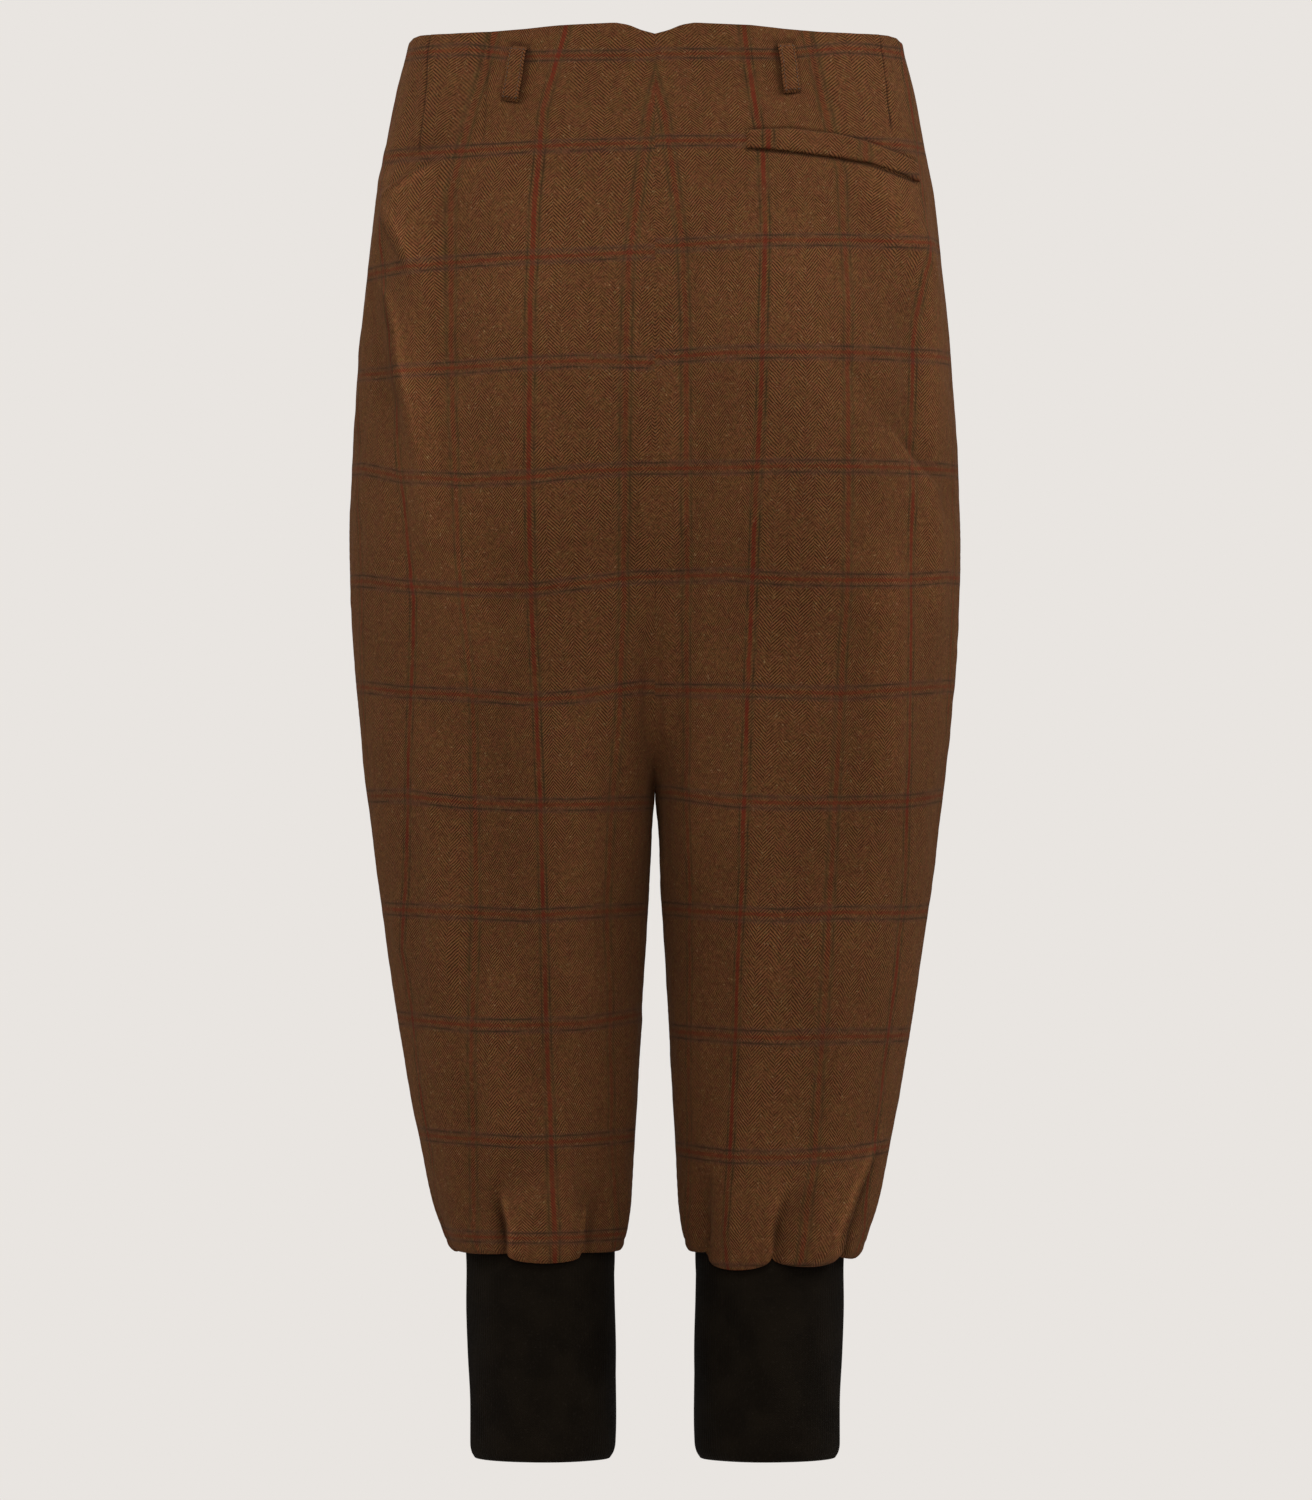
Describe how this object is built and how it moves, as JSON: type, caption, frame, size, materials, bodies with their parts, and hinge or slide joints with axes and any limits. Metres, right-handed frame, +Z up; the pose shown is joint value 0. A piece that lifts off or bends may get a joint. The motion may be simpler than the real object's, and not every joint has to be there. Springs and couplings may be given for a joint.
{
  "type": "breeches",
  "caption": "Worn knee breeches of brown checked herringbone tweed with a high waist, belt loops, one back welt pocket and black knitted cuffs.",
  "frame": {"origin": "centre of the waist ring at the height of the waist edge at the sides, where the wearer's waist holds the garment", "axes": "+Z up, the back of the garment towards +Y, its front towards -Y, the wearer's left towards +X"},
  "size_m": [0.3788, 0.2785, 0.8799],
  "materials": {
    "tweed": "napped woollen herringbone with a red and dark green windowpane check",
    "knit": "matte black fine rib knit",
    "horn": "polished dark brown"
  },
  "bodies": {
    "root": {"back_left": "tweed", "back_right": "tweed", "front_left": "tweed", "front_right": "tweed", "back_pocket_welt": "tweed", "belt_loop_back_left": "tweed", "belt_loop_back_right": "tweed", "belt_loop_front_left": "tweed", "belt_loop_front_right": "tweed", "fly_shield": "tweed", "waist_button": "horn", "cuff_left": "knit", "cuff_right": "knit"}
  },
  "joints": []
}
